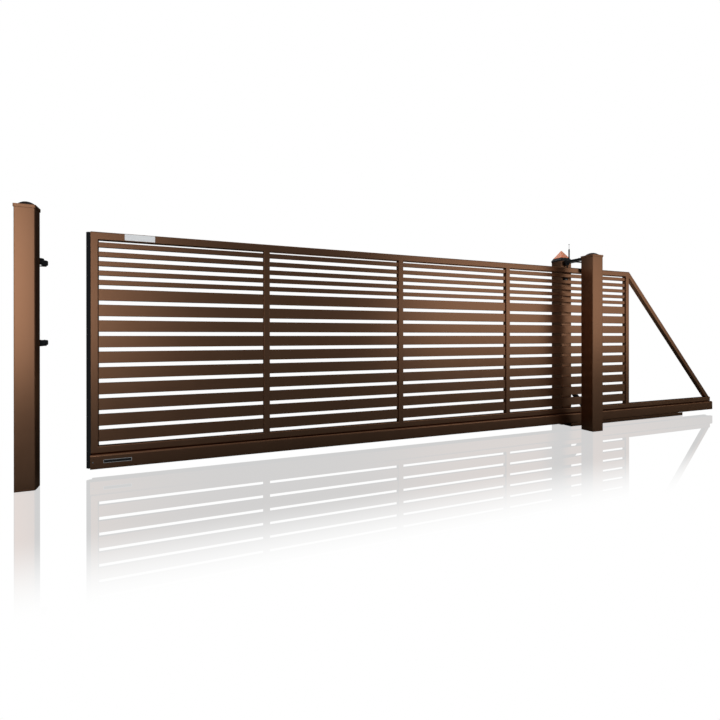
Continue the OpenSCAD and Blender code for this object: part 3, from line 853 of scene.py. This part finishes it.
def seal():
    """A flat rubber base with a round nose, carried up the closing edge."""
    low, high = span("edge_seal")
    y = (low[1] + high[1]) / 2
    x0, x1, nose, base = high[0], low[0] - NOSE_OVER, NOSE_R, SEAL_BASE_HALF
    shoulder = x1 + nose
    section = closed_outline([(x0, y - base), (x0, y + base), (shoulder, y + base), (shoulder, y + nose),
                              (x1, y + nose), (x1, y - nose), (shoulder, y - nose), (shoulder, y - base)],
                             (0, 0, SEAL_CORNER, 0, nose, nose, 0, SEAL_CORNER))
    strip = carried(section, (0, 0, low[2]), high[2] - low[2], UP, 0)
    piece("edge_seal_profile", "leaf", [(rubber, strip)], ["edge_seal"])


def plates():
    """Two bare plates with rounded corners: a pale one on the rail, a black one with a thin pale border."""
    low, high = span("rail_plate")
    sheet = block(low, high, Y, RAIL_PLATE_CORNER, RAIL_PLATE_EDGE)
    piece("rail_plate_sheet", "leaf", [(pale_plate, sheet)], ["rail_plate"])
    low, high = span("beam_plate")
    border_low = (low[0], low[1] + BORDER_SINK, low[2])
    field_low = (low[0] + BORDER_W, low[1], low[2] + BORDER_W)
    field_high = (high[0] - BORDER_W, high[1], high[2] - BORDER_W)
    piece("beam_plate_sheet", "leaf", [
        (pale_grey, block(border_low, high, Y, BORDER_CORNER, BORDER_EDGE)),
        (dark_plate, block(field_low, field_high, Y, FIELD_CORNER, FIELD_EDGE)),
    ], ["beam_plate"])


rail("top_rail", RAIL_UNDER)
rail("bottom_rail")
stile("closing_stile")
for number in range(1, MID_STILES + 1):
    stile(f"mid_stile_{number}")
stile("tail_stile")
for number in range(1, BAYS + 1):
    bay(number)
brace()
running_beam()
seal()
plates()

running_gear = (("front_carriage", zinc_steel), ("rear_carriage", zinc_steel), ("carriage_wheels", nylon))
for node, material in running_gear:
    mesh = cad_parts[node].data
    mesh.materials.clear()
    mesh.materials.append(material)


# Camera, in metres and degrees.

SENSOR_WIDTH_MM = 36.0
LENS_MM = 22.627
LENS_SHIFT = -0.0326
EYE = (-3.9513, -3.3852, 0.9587)
EYE_ANGLES = (90.0, 0.055, -22.277)

camera_data = bpy.data.cameras.new("camera")
camera_data.sensor_width = SENSOR_WIDTH_MM
camera_data.lens = LENS_MM
camera_data.shift_y = LENS_SHIFT
camera = bpy.data.objects.new("camera", camera_data)
camera.location = EYE
camera.rotation_euler = [math.radians(angle) for angle in EYE_ANGLES]
bpy.context.scene.collection.objects.link(camera)
bpy.context.scene.camera = camera


# Floor, in metres: white to the camera, with a faint sharp mirror of the gate that ends softly in front of
# it, and plain pale to matt surfaces. The satin metal sees it as a flat grey ground with painted shade behind
# the gate, so that it is darker there than before it. Further back a painted pool of light lies on it, so
# that the gate's rear has something to show, except on a strip of painted shade that the stiles' and posts'
# side faces mirror, so that they come out nearly black. The strip's middle line passes its waist and moves
# along X by the slant for each metre in Y, and its half width is the margin at the waist and grows by the
# spread on both sides of it.

WHITE = (1, 1, 1, 1)
PLAIN_LEVEL = 0.75
FLOOR_REACH = 60.0
GATE_Y = 0.2
MIRROR_SHARE = 0.37
MIRROR_FADE = (0.95, 1.75)
PAINTED_SHADE_BLEND = (-0.4, 0.6)
GROUND_FRONT = (0.135, 0.155, 0.168, 1)
# Painted shade: a darker ground tone behind the gate, for the satin metal to mirror.
GROUND_BACK_PAINTED_SHADE = (0.038, 0.046, 0.05, 1)
# Painted light: a pale zone on the ground further back, for the gate's rear faces to mirror.
GROUND_REAR_PAINTED_LIGHT = (0.72, 0.72, 0.72, 1)
PAINTED_LIGHT_START = (0.9, 2.2)
PAINTED_LIGHT_END = (7.0, 9.0)
# Painted shade: a dark strip through the pale zone, which the stiles' and posts' side faces mirror nearly
# black.
SHADE_STRIP_WAIST = (-3.95, 3.6)
SHADE_STRIP_SLANT = 0.65
SHADE_STRIP_SPREAD = 0.78
SHADE_STRIP_MARGIN = 0.8
SHADE_STRIP_BLUR = 1.2


def arith(tree, operation, *values):
    """A sum on values or links."""
    return add(tree, "ShaderNodeMath", {"operation": operation}, dict(enumerate(values))).outputs[0]


def ramp(tree, value, start, end, low=0.0, high=1.0):
    """Goes smoothly from low to high while the value goes from start to end."""
    return add(tree, "ShaderNodeMapRange", {"interpolation_type": "SMOOTHSTEP"},
               {"Value": value, "From Min": start, "From Max": end, "To Min": low, "To Max": high}).outputs[0]


def either(tree, factor, first, second):
    """The first shader where the factor is zero and the second where it is one."""
    return add(tree, "ShaderNodeMixShader", {}, {0: factor, 1: first, 2: second}).outputs[0]


def light(tree, kind, colour, level):
    """A shader that gives one colour at one level: a surface's or the world's."""
    return add(tree, kind, {}, {"Color": colour, "Strength": level}).outputs[0]


def seen_sharply(tree, path):
    """One for the camera's own rays and for perfectly sharp reflections, otherwise zero."""
    return arith(tree, "MAXIMUM", path.outputs["Is Camera Ray"], path.outputs["Is Singular Ray"])


def mirror_share_and_painted_ground(tree):
    """The mirror's share of what the camera sees, and the floor's colour to the satin metal: the front tone,
    painted shade behind the gate, and a painted pool of light further back, cut by a strip of painted shade.
    """
    place = add(tree, "ShaderNodeTexCoord").outputs["Object"]
    along, across = add(tree, "ShaderNodeSeparateXYZ", {}, {0: place}).outputs[:2]
    away = arith(tree, "ABSOLUTE", arith(tree, "SUBTRACT", across, GATE_Y))
    share = ramp(tree, away, *MIRROR_FADE, MIRROR_SHARE, 0.0)
    # Painted shade: the ground turns darker behind the gate.
    tone = blend(tree, ramp(tree, across, *PAINTED_SHADE_BLEND), GROUND_FRONT, GROUND_BACK_PAINTED_SHADE)
    past = arith(tree, "SUBTRACT", across, SHADE_STRIP_WAIST[1])
    aside = arith(tree, "MULTIPLY_ADD", past, SHADE_STRIP_SLANT, along)
    off = arith(tree, "ABSOLUTE", arith(tree, "SUBTRACT", aside, SHADE_STRIP_WAIST[0]))
    half = arith(tree, "MULTIPLY_ADD", arith(tree, "ABSOLUTE", past), SHADE_STRIP_SPREAD, SHADE_STRIP_MARGIN)
    beside_shade_strip = ramp(tree, arith(tree, "SUBTRACT", off, half), 0.0, SHADE_STRIP_BLUR)
    # A painted pool of light on the ground further back, cut by the strip of painted shade.
    painted_light_band = arith(tree, "MULTIPLY", ramp(tree, across, *PAINTED_LIGHT_START), ramp(tree, across, *PAINTED_LIGHT_END, 1.0, 0.0))
    return share, blend(tree, arith(tree, "MULTIPLY", painted_light_band, beside_shade_strip), tone, GROUND_REAR_PAINTED_LIGHT)


def floor():
    """One large quad on the ground."""
    material = bpy.data.materials.new("white_floor_with_painted_shade_and_light")
    material.use_nodes = True
    tree = material.node_tree
    tree.nodes.clear()
    share, colour = mirror_share_and_painted_ground(tree)
    white = light(tree, "ShaderNodeEmission", WHITE, 1.0)
    mirror = add(tree, "ShaderNodeBsdfGlossy", {}, {"Color": WHITE, "Roughness": 0.0}).outputs[0]
    # A matt ground in the painted shade and light tones, seen only in the satin metal's blurred reflections.
    painted_ground = add(tree, "ShaderNodeBsdfDiffuse", {}, {"Color": colour}).outputs[0]
    plain = light(tree, "ShaderNodeEmission", WHITE, PLAIN_LEVEL)
    path = add(tree, "ShaderNodeLightPath")
    under = either(tree, path.outputs["Is Diffuse Ray"], painted_ground, plain)
    both = either(tree, seen_sharply(tree, path), under, either(tree, share, white, mirror))
    add(tree, "ShaderNodeOutputMaterial", {}, {"Surface": both})
    mesh = bpy.data.meshes.new("floor")
    r = FLOOR_REACH
    mesh.from_pydata([(-r, -r, 0), (r, -r, 0), (r, r, 0), (-r, r, 0)], [], [(0, 1, 2, 3)])
    mesh.materials.append(material)
    made = bpy.data.objects.new("floor", mesh)
    bpy.context.scene.collection.objects.link(made)


# World: the white backdrop for the camera, for perfectly sharp reflections and for light that passes through,
# an even plain light for matt surfaces, and a dim room for the satin metal, whose low parts are nearly black.

ROOM_COLOUR = (0.045, 0.053, 0.064, 1)


def room():
    """The world's light, by the kind of ray that looks at it."""
    world = bpy.data.worlds.new("room")
    bpy.context.scene.world = world
    world.use_nodes = True
    world.cycles.sampling_method = "NONE"
    tree = world.node_tree
    tree.nodes.clear()
    path = add(tree, "ShaderNodeLightPath")
    clear = arith(tree, "MAXIMUM", seen_sharply(tree, path), path.outputs["Is Transmission Ray"])
    dim = light(tree, "ShaderNodeBackground", ROOM_COLOUR, 1.0)
    plain = light(tree, "ShaderNodeBackground", WHITE, PLAIN_LEVEL)
    white = light(tree, "ShaderNodeBackground", WHITE, 1.0)
    matt = either(tree, path.outputs["Is Diffuse Ray"], dim, plain)
    add(tree, "ShaderNodeOutputWorld", {}, {"Surface": either(tree, clear, matt, white)})


# Soft lamps, in metres: name, centre, the point that it faces, width, height and radiance.

LAMPS = (
    ("front_left", (-7.18, -4.0, 1.85), (-7.18, 0.0, 1.85), 3.44, 2.8, 2.05),
    ("front_left_edge", (-4.8, -4.0, 1.85), (-4.8, 0.0, 1.85), 1.32, 2.8, 0.6),
    ("front_middle", (-2.4, -4.0, 2.0), (-2.4, 0.0, 2.0), 5.2, 2.8, 0.14),
    ("front_right", (4.3, -4.0, 1.9), (4.3, 0.0, 1.9), 8.3, 2.6, 1.08),
    ("front_strip", (4.68, -3.95, 1.9), (4.68, 0.0, 1.9), 1.3, 2.6, 0.32),
    ("overhead", (-1.3, -0.3, 4.2), (-1.3, -0.3, 0.0), 9.0, 3.6, 0.5),
    ("back_left", (-9.5, 4.2, 3.6), (-4.0, 0.0, 1.0), 4.0, 2.4, 1.0),
    ("back_high", (0.3, 4.8, 6.2), (0.0, 0.4, 1.6), 8.0, 2.6, 1.3),
    ("left_side", (-9.5, 0.2, 1.6), (0.0, 0.2, 1.6), 2.4, 2.6, 0.8),
    ("right_side", (7.0, 0.2, 1.6), (0.0, 0.2, 1.6), 2.4, 2.6, 0.8),
)


def softbox(name, centre, aim, width, height, radiance):
    """A rectangular soft lamp. Its power in watts is radiance * pi * its area."""
    data = bpy.data.lights.new(name, "AREA")
    data.shape = "RECTANGLE"
    data.size = width
    data.size_y = height
    data.energy = radiance * math.pi * width * height
    made = bpy.data.objects.new(name, data)
    back = basis(np.asarray(centre, float) - np.asarray(aim, float))[2]
    right = np.cross(UP, back)
    reach = np.linalg.norm(right)
    right = right / reach if reach > TINY else np.array(ALONG, float)
    matrix = np.eye(4)
    matrix[:3, 0] = right
    matrix[:3, 1] = np.cross(back, right)
    matrix[:3, 2] = back
    matrix[:3, 3] = centre
    made.matrix_world = Matrix(matrix.tolist())
    made.visible_camera = False
    bpy.context.scene.collection.objects.link(made)


floor()
room()
for lamp in LAMPS:
    softbox(*lamp)

bpy.context.scene.view_settings.view_transform = "Standard"
